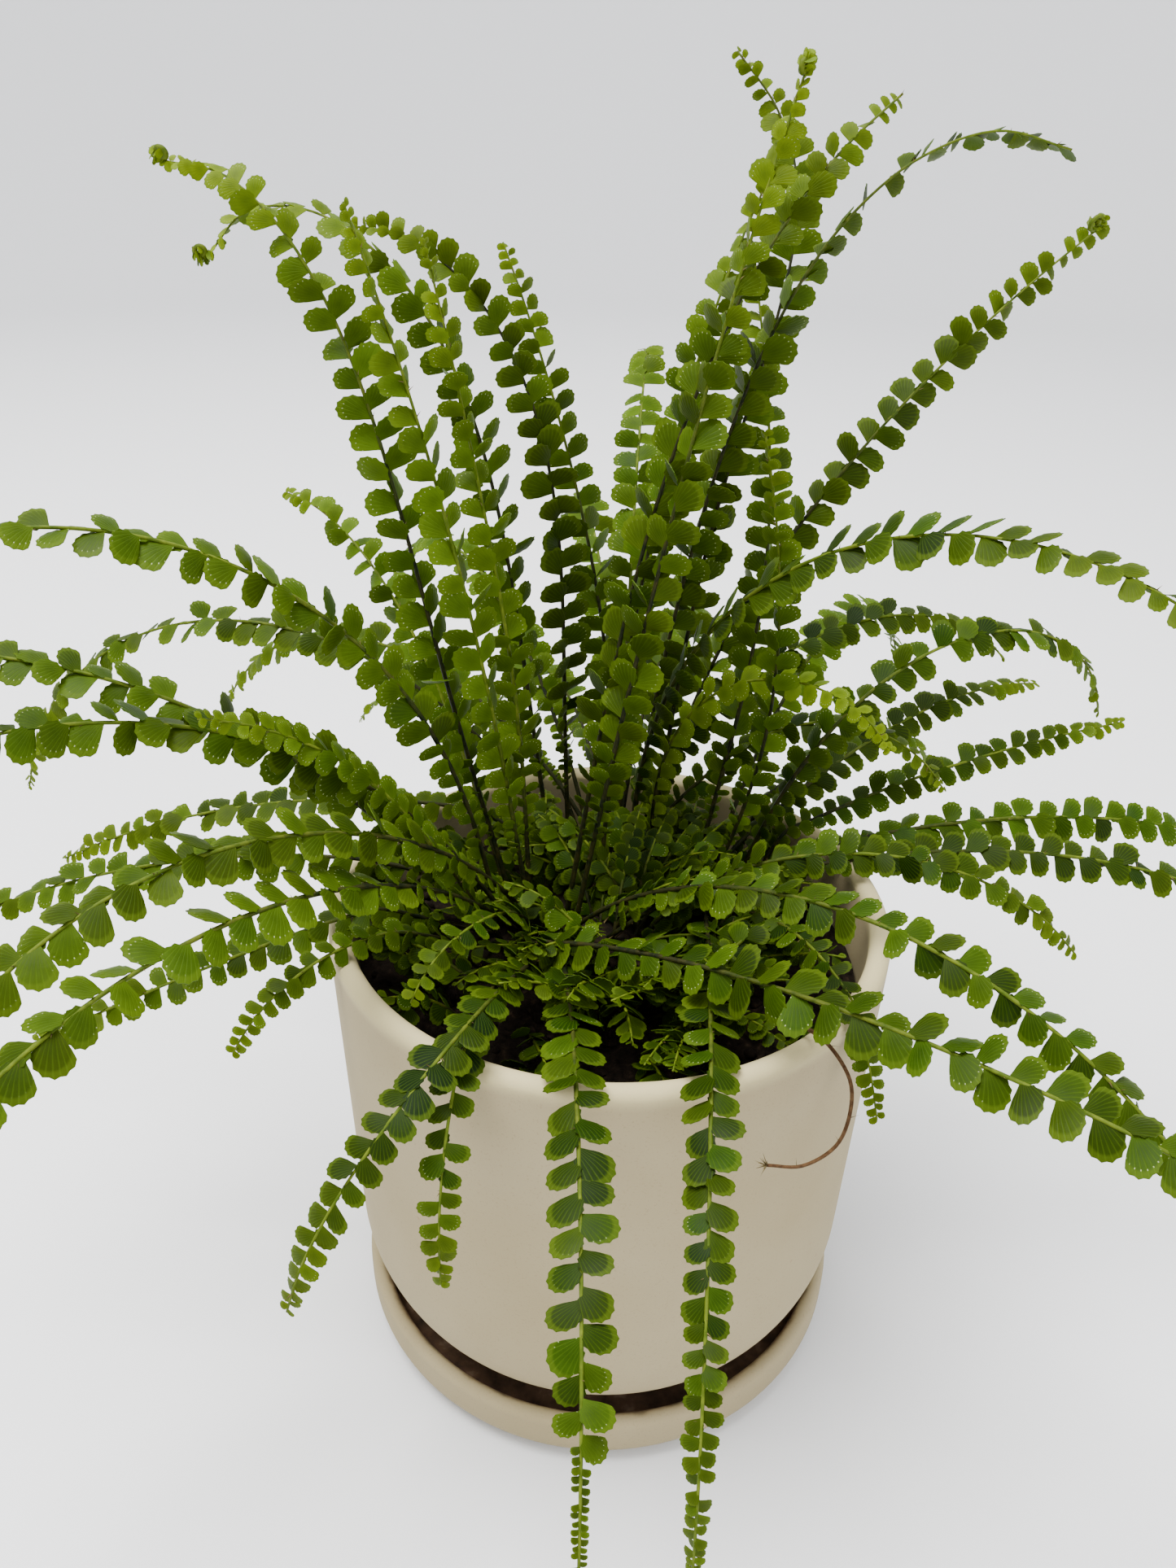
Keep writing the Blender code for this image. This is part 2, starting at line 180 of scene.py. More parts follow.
# ---- finishes ----
class Finish:
    """A procedural material, put together node by node."""

    def __init__(self, name, roughness, **constants):
        self.material = bpy.data.materials.new(name)
        self.material.use_nodes = True
        self.tree = self.material.node_tree
        self.shader = self.tree.nodes["Principled BSDF"]
        self.shader.inputs["Roughness"].default_value = roughness
        for label, value in constants.items():
            self.shader.inputs[label.replace("_", " ")].default_value = value

    def node(self, kind, *links, **settings):
        """Add a node; links feed its inputs in order, settings set its values."""
        node = self.tree.nodes.new("ShaderNode" + kind)
        for label, value in settings.items():
            title = label.replace("_", " ").title()
            if title in node.inputs:
                node.inputs[title].default_value = value
            else:
                setattr(node, label, value)
        for socket, source in zip(node.inputs, links):
            self.feed(socket, source)
        return node

    def feed(self, socket, source):
        if isinstance(source, (int, float)):
            socket.default_value = source
        elif source is not None:
            self.tree.links.new(source, socket)

    def maths(self, operation, *sources):
        return self.node("Math", *sources, operation=operation).outputs[0]

    def times(self, first, second):
        return self.maths("MULTIPLY", first, second)

    def plus(self, first, second):
        return self.maths("ADD", first, second)

    def distance(self, x, y):
        """How far a point lies from the origin, seen along the third axis."""
        return self.maths("SQRT", self.plus(self.times(x, x), self.times(y, y)))

    def place(self):
        return self.node("TexCoord").outputs["Object"]

    def uv(self):
        return self.node("TexCoord").outputs["UV"]

    def attribute(self, label):
        return self.node("Attribute", attribute_name=label).outputs["Fac"]

    def noise(self, where, scale, detail=4.0, roughness=0.55):
        return self.node("TexNoise", where, scale=scale, detail=detail,
                         roughness=roughness).outputs["Fac"]

    def cells(self, where, scale):
        return self.node("TexVoronoi", where, scale=scale).outputs["Distance"]

    def ramp(self, source, *stops, fade="LINEAR"):
        """A colour ramp with stops of (place, colour)."""
        node = self.node("ValToRGB", source)
        band = node.color_ramp
        band.interpolation = fade
        while len(band.elements) < len(stops):
            band.elements.new(0.5)
        for element, (at, colour) in zip(band.elements, stops):
            element.position = at
            element.color = (*colour, 1) if len(colour) == 3 else colour
        return node.outputs["Color"]

    def mask(self, source, low, high):
        """0 below low, 1 above high, smooth between."""
        node = self.node("MapRange", source, interpolation_type="SMOOTHSTEP")
        node.inputs["From Min"].default_value = low
        node.inputs["From Max"].default_value = high
        return node.outputs["Result"]

    def mix(self, share, first, second, blend="MIX"):
        node = self.node("Mix", data_type="RGBA", blend_type=blend)
        self.feed(node.inputs["Factor"], share)
        for socket, source in ((node.inputs[6], first), (node.inputs[7], second)):
            if isinstance(source, tuple):
                socket.default_value = (*source, 1)
            else:
                self.tree.links.new(source, socket)
        return node.outputs[2]

    def tint(self, base, mask, strength, colour):
        """Lay a colour over the base where the mask is, at the strength given."""
        return self.mix(self.times(mask, strength), base, colour)

    def colour(self, source):
        self.tree.links.new(source, self.shader.inputs["Base Color"])

    def rough(self, source):
        self.tree.links.new(source, self.shader.inputs["Roughness"])

    def bump(self, height, strength, distance):
        node = self.node("Bump", strength=strength, distance=distance)
        self.tree.links.new(height, node.inputs["Height"])
        self.tree.links.new(node.outputs["Normal"], self.shader.inputs["Normal"])


LEAF_VEIN_FOOT = (0.56, 0.44)   # the veins start this far left of and below the middle
LEAF_VEIN_RATE = 46.0           # vein waves follow each other this fast round that point
LEAF_DOTS_ROUND = 17.0          # dots on a full round of the margin
# the "light" and "dark" greens are mixed in per leaflet: partly random variation, partly painted
# shade on fronds that lie in shadow
LEAF_COLOURS = {
    "shaded": (0.010, 0.030, 0.0004), "lit": (0.024, 0.054, 0.0006),
    "light": (0.052, 0.108, 0.0008), "dark": (0.003, 0.010, 0.0002),
    "young": (0.120, 0.170, 0.001), "vein": (0.060, 0.110, 0.003),
    "heart": (0.004, 0.014, 0.0002), "margin": (0.080, 0.125, 0.004),
    "dot": (0.400, 0.460, 0.220), "underside": (0.045, 0.092, 0.010),
}


def leaf_finish():
    """Satin green leaflets: fan veins, pale dotted margin, paler underside, young tips.

    The UV map is measured in leaflet lengths from the middle; the rounded margin runs at 0.5.
    """
    finish = Finish("fern_leaf", 0.5, Specular_IOR_Level=0.05)
    place = finish.place()
    flat = finish.node("SeparateXYZ", finish.uv())
    across, up = flat.outputs["X"], flat.outputs["Y"]
    left, below = LEAF_VEIN_FOOT
    spread = finish.maths("ARCTAN2", finish.plus(up, below), finish.plus(across, left))
    veins = finish.mask(finish.maths("SINE", finish.times(spread, LEAF_VEIN_RATE)), 0.35, 1.0)
    radial = finish.distance(across, up)
    margin = finish.mask(radial, 0.44, 0.54)
    heart = finish.mask(radial, 0.45, 0.0)
    # a row of pale dots just inside the margin, on the upper side of some leaflets
    turned_by = finish.maths("ARCTAN2", up, across)
    row = finish.mask(finish.maths("SINE", finish.times(turned_by, LEAF_DOTS_ROUND)), 0.80, 0.95)
    ring = finish.times(finish.mask(radial, 0.45, 0.46), finish.mask(radial, 0.50, 0.485))
    above = finish.maths("SUBTRACT", 1.0, finish.attribute("under"))
    tone = finish.attribute("tone")
    dotted = finish.times(finish.mask(finish.noise(place, 110.0), 0.42, 0.52),
                          finish.mask(tone, -0.75, -0.3))
    dots = finish.times(finish.times(row, ring), finish.times(above, dotted))
    # greens, from the whole leaflet to its details
    shade = LEAF_COLOURS
    patchy = finish.noise(place, 90.0)
    green = finish.ramp(patchy, (0.3, shade["shaded"]), (0.7, shade["lit"]))
    # whole leaflets painted lighter or darker: partly their own random variation, partly painted
    # shade on fronds that lie in shadow
    green = finish.mix(finish.mask(tone, 0.0, 1.0), green, shade["light"])
    green = finish.mix(finish.mask(tone, 0.0, -1.0), green, shade["dark"])
    green = finish.mix(finish.attribute("youth"), green, shade["young"])
    green = finish.tint(green, veins, 0.22, shade["vein"])
    green = finish.tint(green, heart, 0.3, shade["heart"])
    green = finish.tint(green, margin, 0.3, shade["margin"])
    green = finish.tint(green, dots, 0.6, shade["dot"])
    green = finish.tint(green, finish.attribute("under"), 0.45, shade["underside"])
    finish.colour(green)
    finish.rough(finish.ramp(patchy, (0.3, (0.44,) * 3), (0.7, (0.58,) * 3)))
    relief = finish.plus(finish.times(veins, -0.6), finish.noise(place, 700.0))
    finish.bump(relief, 0.35, 0.2 * MM)
    return finish.material


def stem_finish():
    """The rachis: dark and scaly at its foot, fresh green further up."""
    finish = Finish("frond_stem", 0.6, Specular_IOR_Level=0.1)
    place = finish.place()
    youth = finish.attribute("youth")
    mottle = finish.noise(place, 400.0)
    dark = finish.ramp(mottle, (0.35, (0.003, 0.006, 0.001)), (0.7, (0.022, 0.020, 0.003)))
    fresh = finish.ramp(mottle, (0.35, (0.040, 0.068, 0.002)), (0.7, (0.105, 0.135, 0.008)))
    finish.colour(finish.mix(youth, dark, fresh))
    finish.bump(mottle, 0.4, 0.2 * MM)
    return finish.material


def chaff_finish():
    """Dry scales and hairs on stems and crowns."""
    finish = Finish("dry_scales", 0.8, Specular_IOR_Level=0.1)
    shades = finish.noise(finish.place(), 300.0)
    finish.colour(finish.ramp(shades, (0.35, (0.030, 0.016, 0.004)), (0.7, (0.170, 0.130, 0.050))))
    return finish.material


# in the pot's colours, "rim" is a painted highlight and "foot" a painted shade
CERAMIC_COLOURS = {
    "shaded": (0.285, 0.232, 0.122), "lit": (0.325, 0.270, 0.155), "grain": (0.220, 0.165, 0.090),
    "spot": (0.260, 0.170, 0.090), "rim": (0.520, 0.450, 0.230), "foot": (0.230, 0.160, 0.100),
}
STAIN_STOPS = (
    (0.3, (0.030, 0.017, 0.009)), (0.55, (0.110, 0.060, 0.032)), (0.8, (0.330, 0.230, 0.150)),
)


def ceramic_finish(name, stained):
    """Matte cream stoneware with a sandy grain and a few spots.

    A stained piece, the saucer, has water stains inside. The other one, the pot, has its rim
    painted lighter, a painted highlight, and its foot painted darker, a painted shade.
    """
    finish = Finish(name, 0.75, Specular_IOR_Level=0.25)
    shade = CERAMIC_COLOURS
    place = finish.place()
    cloud = finish.noise(place, 16.0, detail=3.0)
    body = finish.ramp(cloud, (0.3, shade["shaded"]), (0.7, shade["lit"]))
    grain = finish.noise(place, 1500.0, detail=2.0)
    body = finish.tint(body, finish.mask(grain, 0.58, 0.7), 0.35, shade["grain"])
    spots = finish.mask(finish.cells(place, 95.0), 0.075, 0.045)
    rare = finish.mask(finish.noise(place, 30.0), 0.52, 0.6)
    body = finish.tint(body, finish.times(spots, rare), 0.6, shade["spot"])
    parts = finish.node("SeparateXYZ", place)
    height = parts.outputs["Z"]
    if stained:
        reach = finish.distance(parts.outputs["X"], parts.outputs["Y"])
        wobble = finish.times(finish.noise(place, 60.0), 6 * MM)
        inside = finish.mask(finish.plus(reach, wobble), SAUCER_RADIUS + 0.5 * MM,
                             SAUCER_RADIUS - 2.5 * MM)
        above_foot = finish.mask(height, 4.5 * MM, 5 * MM)
        dirt = finish.ramp(finish.noise(place, 120.0, detail=6.0), *STAIN_STOPS)
        body = finish.mix(finish.times(inside, above_foot), body, dirt)
    else:
        # painted highlight: the top of the rim is painted lighter, where the light from above falls
        # on it
        rim = finish.mask(height, POT_TOP - 6 * MM, POT_TOP - 1 * MM)
        body = finish.tint(body, rim, 0.6, shade["rim"])
        # painted shade: the pot is painted darker towards its foot, where it stands in shadow above
        # the saucer
        wobble = finish.times(finish.noise(place, 50.0), 8 * MM)
        low = finish.mask(finish.plus(height, wobble), 22 * MM, 12 * MM)
        body = finish.tint(body, low, 0.45, shade["foot"])
    finish.colour(body)
    relief = finish.plus(finish.times(grain, 0.5), finish.noise(place, 350.0))
    finish.bump(relief, 0.25, 0.3 * MM)
    return finish.material


def soil_finish():
    finish = Finish("potting_soil", 1.0, Specular_IOR_Level=0.1)
    place = finish.place()
    crumbs = finish.noise(place, 450.0, detail=6.0)
    dark = finish.ramp(crumbs, (0.3, (0.003, 0.002, 0.001)), (0.6, (0.012, 0.008, 0.005)),
                       (0.8, (0.040, 0.025, 0.014)))
    finish.colour(dark)
    finish.bump(crumbs, 0.8, 1 * MM)
    return finish.material


def wood_finish(name, dark, light, scale):
    finish = Finish(name, 0.9, Specular_IOR_Level=0.1)
    place = finish.place()
    fibre = finish.noise(place, scale, detail=6.0)
    finish.colour(finish.ramp(fibre, (0.3, dark), (0.7, light)))
    finish.bump(fibre, 0.7, 0.6 * MM)
    return finish.material


def stage_finish():
    finish = Finish("studio_paper", 0.75)
    shade = finish.noise(finish.place(), 1.5)
    finish.colour(finish.ramp(shade, (0.0, (0.78, 0.78, 0.79)), (1.0, (0.80, 0.80, 0.805))))
    return finish.material


# ---- turned pieces ----
def draw_out(ring, profile):
    """In edit mode, extrude the selected edges from one (r, z) ring through those of a profile."""
    radius, height = ring
    for new_radius, new_height in profile:
        bpy.ops.mesh.extrude_edges_move(
            TRANSFORM_OT_translate={"value": (0, 0, new_height - height)})
        scale = new_radius / radius
        bpy.ops.transform.resize(value=(scale, scale, 1), center_override=(0, 0, new_height))
        radius, height = new_radius, new_height


def turned(name, profile, closed=False):
    """Turn an (r, z) profile ring by ring. One that isn't closed starts and ends on the axis."""
    start = 0 if closed else 1
    radius, height = profile[start]
    fill = "NOTHING" if closed else "TRIFAN"
    bpy.ops.object.select_all(action="DESELECT")
    bpy.ops.mesh.primitive_circle_add(vertices=TURN_STEPS, radius=radius, fill_type=fill,
                                      location=(0, 0, height))
    obj = bpy.context.object
    obj.name = name
    settle_place(obj)
    edit(obj)
    pick(obj, lambda co: co.xy.length > radius * 0.5)
    last = len(profile) if closed else len(profile) - 1
    draw_out(profile[start], profile[start + 1:last])
    if closed:
        bpy.ops.mesh.select_all(action="DESELECT")
        bpy.ops.mesh.select_mode(type="EDGE")
        bpy.ops.mesh.select_non_manifold()
        bpy.ops.mesh.bridge_edge_loops()
    else:
        bpy.ops.mesh.extrude_edges_move(
            TRANSFORM_OT_translate={"value": (0, 0, profile[-1][1] - profile[-2][1])})
        bpy.ops.mesh.merge(type="CENTER")
    bpy.ops.mesh.select_all(action="SELECT")
    bpy.ops.mesh.normals_make_consistent(inside=False)
    leave()
    return obj


def shoulder_arc(inset, lowest, steps=20):
    """The big rounding between side and foot, moved inwards, down to the height lowest."""
    radius = POT_SHOULDER - inset
    centre = (POT_RADIUS - POT_TAPER - POT_SHOULDER, POT_FOOT + POT_SHOULDER)
    end = math.degrees(math.asin((centre[1] - lowest) / radius))
    return arc(centre, radius, 0, -end, steps)


def make_pot():
    floor = POT_FOOT + FOOT_RECESS + POT_WALL
    lip = POT_WALL / 2
    outside = shoulder_arc(0, POT_FOOT + FOOT_EDGE)
    ring = outside[-1][0] - FOOT_INSET
    profile = arc((POT_RADIUS - lip, POT_TOP - lip), lip, 90, 0, 8)
    profile += outside
    profile += [(ring, POT_FOOT), (ring - FOOT_RING, POT_FOOT)]
    profile += [(ring - FOOT_RING - FOOT_SLOPE, POT_FOOT + FOOT_RECESS)]
    profile += [(DRAIN_RADIUS, POT_FOOT + FOOT_RECESS), (DRAIN_RADIUS, floor)]
    profile += reversed(shoulder_arc(POT_WALL, floor))
    profile += arc((POT_RADIUS - lip, POT_TOP - lip), lip, 180, 90, 8)[:-1]
    pot = turned("ceramic_pot", profile, closed=True)
    smooth(pot)
    pot.data.materials.append(ceramic_finish("pot_ceramic", stained=False))
    hand_over(pot, "pot_ceramic", "pot")


def make_saucer():
    lip = SAUCER_WALL / 2
    cove_centre = (SAUCER_RADIUS - SAUCER_WALL - SAUCER_COVE, SAUCER_WALL + SAUCER_COVE)
    profile = [(0, SAUCER_WALL)] + [(radius, SAUCER_WALL) for radius in SAUCER_TOP_RINGS]
    profile += arc(cove_centre, SAUCER_COVE, -90, 0, 8)
    profile += arc((SAUCER_RADIUS - lip, SAUCER_HEIGHT - lip), lip, 180, 0, 12)
    profile += arc((SAUCER_RADIUS - SAUCER_CORNER, SAUCER_CORNER), SAUCER_CORNER, 0, -90, 12)
    profile += [(SAUCER_FOOT_RING, 0), (0, 0)]
    saucer = turned("ceramic_saucer", profile)
    smooth(saucer)
    saucer.data.materials.append(ceramic_finish("saucer_ceramic", stained=True))
    hand_over(saucer, "saucer_ceramic", "saucer")


def soil_height(x, y):
    return SOIL_TOP + SOIL_DOME * (1 - (x * x + y * y) / (SOIL_RADIUS * SOIL_RADIUS))


def make_soil(finish):
    """The soil's lumpy top with loose crumbs on it."""
    rings = 26
    floor = POT_FOOT + FOOT_RECESS + POT_WALL + GAP
    profile = [(0, soil_height(0, 0))]
    for step in range(1, rings + 1):
        reach = SOIL_RADIUS * step / rings
        profile.append((reach, soil_height(reach, 0)))
    profile += shoulder_arc(POT_WALL + GAP, floor, 8)
    profile += [(0, floor)]
    soil = turned("potting_soil", profile)
    edit(soil)
    pick(soil, lambda co: co.z > SOIL_TOP - 0.1 * MM and co.xy.length < SOIL_RADIUS - 1 * MM)
    bpy.ops.transform.vertex_random(offset=1.1 * MM, uniform=0.3, normal=0.6, seed=4)
    leave()
    crumbs = []
    bpy.ops.mesh.primitive_ico_sphere_add(subdivisions=1, radius=1.6 * MM)
    crumb = bpy.context.object
    edit(crumb)
    bpy.ops.transform.vertex_random(offset=0.5 * MM, seed=2)
    leave()
    for _ in range(CRUMBS):
        turn_to = chance.uniform(0, 2 * math.pi)
        reach = SOIL_RADIUS * 0.95 * math.sqrt(chance.uniform(0, 1))
        x, y = reach * math.cos(turn_to), reach * math.sin(turn_to)
        matrix = Matrix.Translation((x, y, soil_height(x, y) + 0.2 * MM))
        matrix @= Matrix.Rotation(chance.uniform(0, math.pi), 4, "X")
        matrix @= Matrix.Diagonal((*chance.uniform(0.4, 1.5, 3), 1))
        crumbs.append(copy_of(crumb, matrix))
    bpy.data.objects.remove(crumb)
    soil = join("soil_bed", crumbs + [soil])
    smooth(soil, 60)
    soil.data.materials.append(finish)
    hand_over(soil, "potting_soil", "soil")


def copy_of(pattern, matrix, **values):
    """A copy of a modelled shape with a mesh of its own, moved to its place."""
    mesh = pattern.data.copy()
    mesh.transform(matrix)
    obj = bpy.data.objects.new(pattern.name, mesh)
    bpy.context.scene.collection.objects.link(obj)
    for label, value in values.items():
        paint(obj, label, value)
    return obj


# ---- leaflets ----
def model_leaflet(name, plump, dome, droop, finish):
    """A round leaflet: its foot at the origin, its straight edge along +X, its full side +Y."""
    size = LEAFLET_LENGTH
    straight_part = 0.1 * size  # below this height the circle is pressed into a straight edge
    middle = Vector((0.5 * size, 0.42 * size, 0))
    bpy.ops.object.select_all(action="DESELECT")
    bpy.ops.mesh.primitive_circle_add(vertices=LEAFLET_EDGE, radius=0.5 * size, fill_type="NGON",
                                      location=middle)
    leaf = bpy.context.object
    leaf.name = name
    settle_place(leaf)
    edit(leaf)
    pick(leaf, lambda co: co.y < straight_part)
    bpy.ops.transform.resize(value=(1, 0.2, 1), center_override=(0.5 * size, 0, 0))
    foot = min((vert.co.copy() for vert in bmesh.from_edit_mesh(leaf.data).verts),
               key=lambda co: co.x + co.y)
    pick(leaf, lambda co: (co - foot).length < 0.01 * size)
    bpy.ops.transform.translate(value=-foot)
    step = 2 * math.pi / LEAFLET_EDGE

    def is_tooth(co):
        turn_to = math.atan2(co.y - middle.y, co.x - middle.x)
        return co.y > straight_part and round(turn_to / step) % 2 == 0

    pick(leaf, is_tooth)
    bpy.ops.transform.resize(value=(TOOTH_REACH, TOOTH_REACH, 1), center_override=middle)
    bpy.ops.mesh.select_all(action="SELECT")
    bpy.ops.transform.resize(value=(1, plump, 1), center_override=(0, 0, 0))
    bpy.ops.mesh.select_mode(type="FACE")
    bpy.ops.mesh.poke(offset=dome * size)
    # its end droops in three steps, and its full side a little
    for reach in (0.6, 0.8, 0.95):
        pick(leaf, lambda co: co.x > reach * size)
        bpy.ops.transform.translate(value=(0, 0, -droop * size))
    pick(leaf, lambda co: co.y > 0.72 * size)
    bpy.ops.transform.translate(value=(0, 0, -0.5 * droop * size))
    bpy.ops.mesh.select_all(action="SELECT")
    bpy.ops.mesh.normals_make_consistent(inside=False)
    leave()
    if leaf.data.polygons[0].normal.z < 0:
        leaf.data.flip_normals()
    middle = Vector((middle.x - foot.x, (middle.y - foot.y) * plump))
    upper_count = len(leaf.data.vertices)
    shell = leaf.modifiers.new("shell", "SOLIDIFY")
    shell.thickness = LEAFLET_THICKNESS
    shell.offset = -1
    apply_modifiers(leaf)
    mark_leaflet(leaf, upper_count, middle, plump)
    leaf.data.materials.append(finish)
    smooth(leaf, 50)
    return leaf


def mark_leaflet(leaf, upper_count, middle, plump):
    """Give a leaflet a UV map round its middle, with the margin at 0.5; mark its underside.

    The first upper_count vertices are those of its upper side.
    """
    mesh = leaf.data
    places = np.zeros(len(mesh.vertices) * 3)
    mesh.vertices.foreach_get("co", places)
    flat = (places.reshape(-1, 3)[:, :2] - np.array(middle)) / LEAFLET_LENGTH
    flat[:, 1] /= plump
    corners = np.zeros(len(mesh.loops), dtype=np.int32)
    mesh.loops.foreach_get("vertex_index", corners)
    mesh.uv_layers["UVMap"].data.foreach_set("uv", flat[corners].ravel())
    paint(leaf, "under", (np.arange(len(mesh.vertices)) >= upper_count).astype(np.float32))
    paint(leaf, "tone", 0)
    paint(leaf, "youth", 0)


def mirrored(leaf):
    """The same leaflet for the other side of the rachis."""
    twin = copy_of(leaf, Matrix.Diagonal((1, -1, 1, 1)))
    twin.name = leaf.name + "_left"
    edit(twin)
    bpy.ops.mesh.select_all(action="SELECT")
    bpy.ops.mesh.normals_make_consistent(inside=False)
    leave()
    return twin


def model_scale(finish):
    """A dry scale that stands on a stem: a thin three-sided cone with a bent tip."""
    height = 1.3 * MM
    bpy.ops.object.select_all(action="DESELECT")
    bpy.ops.mesh.primitive_cone_add(vertices=3, radius1=0.16 * MM, radius2=0, depth=height,
                                    location=(0, 0, height / 2))
    scale = bpy.context.object
    scale.name = "scale"
    settle_place(scale)
    edit(scale)
    pick(scale, lambda co: co.z > height / 2)
    bpy.ops.transform.translate(value=(0.35 * MM, 0, 0))
    leave()
    scale.data.materials.append(finish)
    return scale


def scale_matrix(point, lift, size):
    """Where a scale stands: its foot on a point, its tip towards lift, with its own size."""
    rotation = Vector(lift).to_track_quat("Z", "X").to_matrix().to_4x4()
    return Matrix.Translation(point) @ rotation @ Matrix.Diagonal((*size, 1))


# ---- frond lines ----
def stations(name):
    """A packed frond's cross-sections from foot to tip: middle, direction across, half width."""
    work = bmesh.new()
    work.from_mesh(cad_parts[name].data)
    bmesh.ops.remove_doubles(work, verts=work.verts, dist=0.01 * MM)
    work.verts.ensure_lookup_table()
    inside = [vert for vert in work.verts if vert.co.xy.length < POT_RADIUS * 0.8]
    foot = min(inside, key=lambda vert: vert.co.z)
    ring = sorted(work.verts, key=lambda vert: (vert.co - foot.co).length)[:4]
    seen = set(ring)
    rings = []
    while ring:
        rings.append(np.array([vert.co[:] for vert in ring]))
        beyond = {edge.other_vert(vert) for vert in ring for edge in vert.link_edges} - seen
        seen |= beyond
        ring = sorted(beyond, key=lambda vert: vert.index)
    work.free()
    middles = np.array([ring.mean(0) for ring in rings])
    sides, halves = [], []
    for ring, middle in zip(rings, middles):
        axis = np.linalg.svd(ring - middle)[2][0]
        reach = np.abs((ring - middle) @ axis).max()
        if sides and axis @ sides[-1] < 0:
            axis = -axis
        sides.append(axis)
        halves.append(reach)
    return middles, np.array(sides), np.array(halves)


def smooth_line(points, step, *extras):
    """Resample points on a smooth curve through them, with other rows carried along."""
    count = len(points)
    padded = [points[0] * 2 - points[1], *points, points[-1] * 2 - points[-2]]
    dense, where = [], []
    parts = 12
    for index in range(count - 1):
        before, start, end, after = padded[index:index + 4]
        for part in range(parts):
            t = part / parts
            dense.append(0.5 * (2 * start + (end - before) * t
                                + (2 * before - 5 * start + 4 * end - after) * t ** 2
                                + (3 * start - before - 3 * end + after) * t ** 3))
            where.append(index + t)
    dense.append(points[-1])
    where.append(count - 1)
    dense = np.array(dense)
    run = np.concatenate([[0], np.cumsum(np.linalg.norm(np.diff(dense, axis=0), axis=1))])
    marks = np.linspace(0, run[-1], max(6, int(run[-1] / step)))
    line = np.stack([np.interp(marks, run, dense[:, axis]) for axis in range(3)], 1)
    at = np.interp(marks, run, where)
    carried = []
    for rows in extras:
        rows = np.asarray(rows)
        if rows.ndim == 1:
            carried.append(np.interp(at, np.arange(count), rows))
        else:
            carried.append(np.stack([np.interp(at, np.arange(count), rows[:, axis])
                                     for axis in range(rows.shape[1])], 1))
    return (line, *carried)


def unit(vectors):
    return vectors / np.linalg.norm(vectors, axis=-1, keepdims=True)


class Rib:
    """A frond's midrib as a fine line, with its side and face directions and blade half width."""

    def __init__(self, points, sides, halves, step=STEM_STEP):
        self.points, sides, self.halves = smooth_line(points, step, sides, halves)
        self.run = np.concatenate([[0], np.cumsum(
            np.linalg.norm(np.diff(self.points, axis=0), axis=1))])
        self.length = self.run[-1]
        self.tangents = unit(np.gradient(self.points, axis=0))
        sides = sides - self.tangents * (sides * self.tangents).sum(1, keepdims=True)
        self.sides = unit(sides)
        faces = np.cross(self.sides, self.tangents)
        if (faces @ np.array(LIGHT)).mean() < 0:
            self.sides = -self.sides

    def at(self, run):
        def read(rows):
            if rows.ndim == 1:
                return np.interp(run, self.run, rows)
            return np.array([np.interp(run, self.run, rows[:, axis]) for axis in range(3)])
        tangent = unit(read(self.tangents))
        side = read(self.sides)
        side = unit(side - tangent * (side @ tangent))
        return read(self.points), tangent, side, read(self.halves)


# ---- fronds ----
def make_stem(name, points, radii, youth, finish):
    """A tapered stem along a line of points."""
    data = bpy.data.curves.new(name, "CURVE")
    data.dimensions = "3D"
    data.bevel_depth = 1.0
    data.bevel_resolution = 1
    data.use_fill_caps = True
    spline = data.splines.new("POLY")
    spline.points.add(len(points) - 1)
    for vertex, place, radius in zip(spline.points, points, radii):
        vertex.co = (*place, 1)
        vertex.radius = radius
    stem = bpy.data.objects.new(name, data)
    bpy.context.scene.collection.objects.link(stem)
    only(stem)
    bpy.ops.object.convert(target="MESH")
    stem = bpy.context.object
    edit(stem)
    bpy.ops.mesh.select_all(action="SELECT")
    bpy.ops.mesh.remove_doubles(threshold=0.001 * MM)
    bpy.ops.mesh.normals_make_consistent(inside=False)
    leave()
    mesh = stem.data
    if not mesh.uv_layers:
        mesh.uv_layers.new(name="UVMap")
    mesh.uv_layers[0].name = "UVMap"
    places = np.array([vert.co[:] for vert in mesh.vertices])
    nearest = np.linalg.norm(places[:, None] - np.asarray(points)[None], axis=2).argmin(1)
    paint(stem, "youth", np.asarray(youth)[nearest])
    paint(stem, "tone", 0)
    paint(stem, "under", 0)
    mesh.shade_smooth()
    mesh.materials.clear()
    mesh.materials.append(finish)
    return stem


def crozier(rib, turns, radius):
    """The coiled tip of a young frond: points that wind inwards from the rib's end."""
    point, tangent, side, _ = rib.at(rib.length)
    face = np.cross(side, tangent)
    steps = int(turns * 14)
    bend = 2 * math.pi * turns / steps
    points = []
    turned_by = 0.0
    for step in range(steps):
        turned_by += bend
        reach = radius * (1 - 0.72 * step / steps)
        heading = tangent * math.cos(turned_by) + face * math.sin(turned_by)
        point = point + heading * reach * bend
        points.append(point)
    return points


def leaflet_matrix(point, tangent, side, which, spec):
    """Where a leaflet stands: its foot on the rachis, leaning forward, with its own tilt."""
    face = np.cross(side, tangent)
    lean, tilt, droop, size = spec
    outward = side * which
    x_axis = outward * math.cos(lean) + tangent * math.sin(lean)
    y_axis = np.cross(face, x_axis)
    turn = Matrix((x_axis, y_axis, face)).transposed().to_4x4()
    place = Matrix.Translation(point) @ turn
    place @= Matrix.Rotation(droop, 4, "Y") @ Matrix.Rotation(tilt * which, 4, "X")
    return place @ Matrix.Diagonal((size, size, size, 1))


